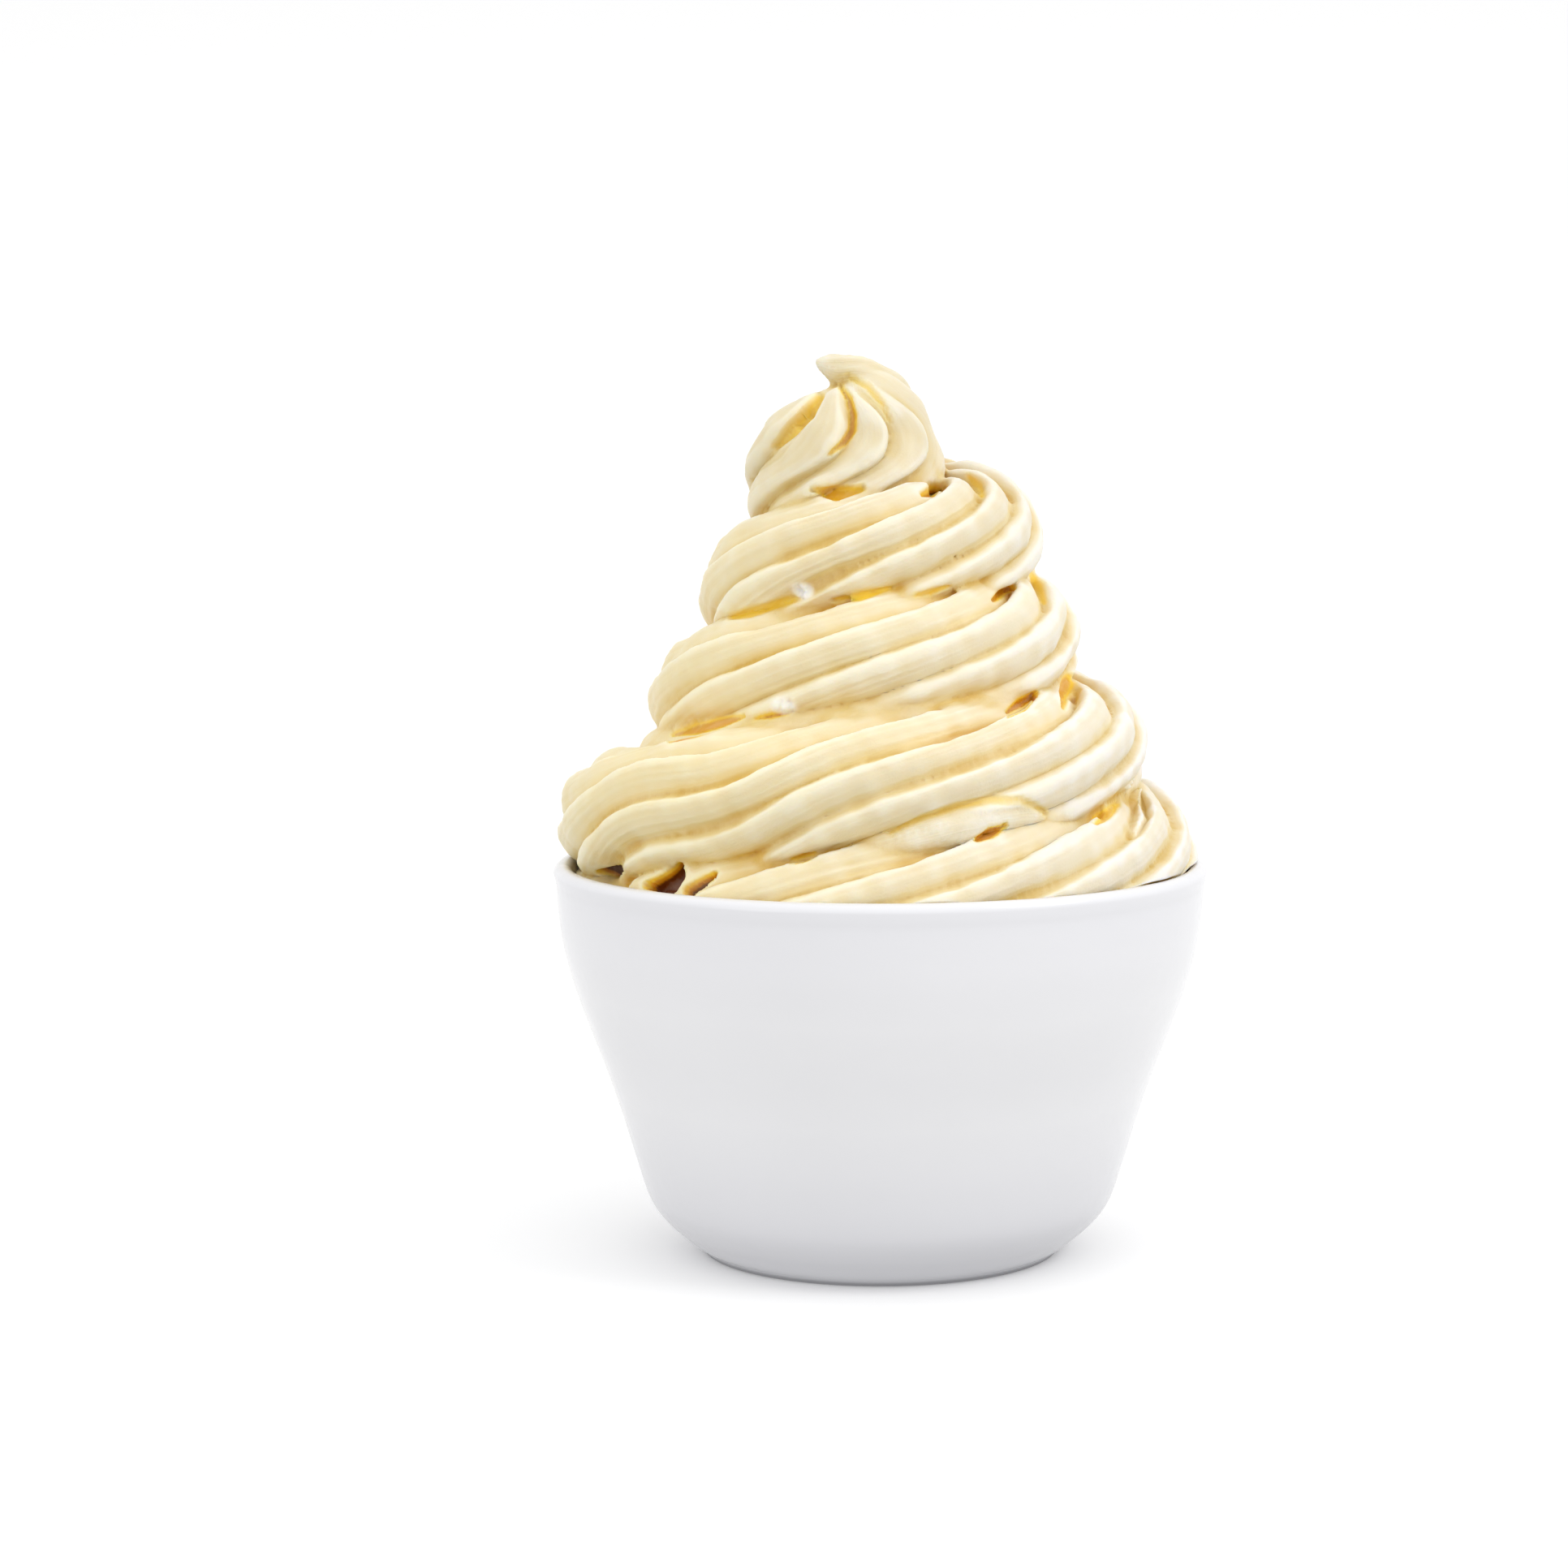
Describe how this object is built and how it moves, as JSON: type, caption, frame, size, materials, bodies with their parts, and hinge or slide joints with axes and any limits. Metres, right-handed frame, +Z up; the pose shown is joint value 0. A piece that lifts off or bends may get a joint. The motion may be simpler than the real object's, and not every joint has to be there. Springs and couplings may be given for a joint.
{
  "type": "ice cream cup",
  "caption": "White ceramic cup heaped with a tall piped swirl of yellow soft-serve ice cream, its fluted rope winding up to a small hooked tip.",
  "frame": {"origin": "centre of the underside of the cup's foot, on the surface that it stands on", "axes": "+Z up through the swirl's tip, -Y towards the front, the tip hooks towards -X"},
  "size_m": [0.1004, 0.1004, 0.1382],
  "materials": {
    "cup": "smooth white glaze, glossy",
    "ice_cream": "soft, slightly moist frozen cream, satin"
  },
  "bodies": {
    "root": {"cup": "cup", "ice_cream": "ice_cream"}
  },
  "joints": []
}
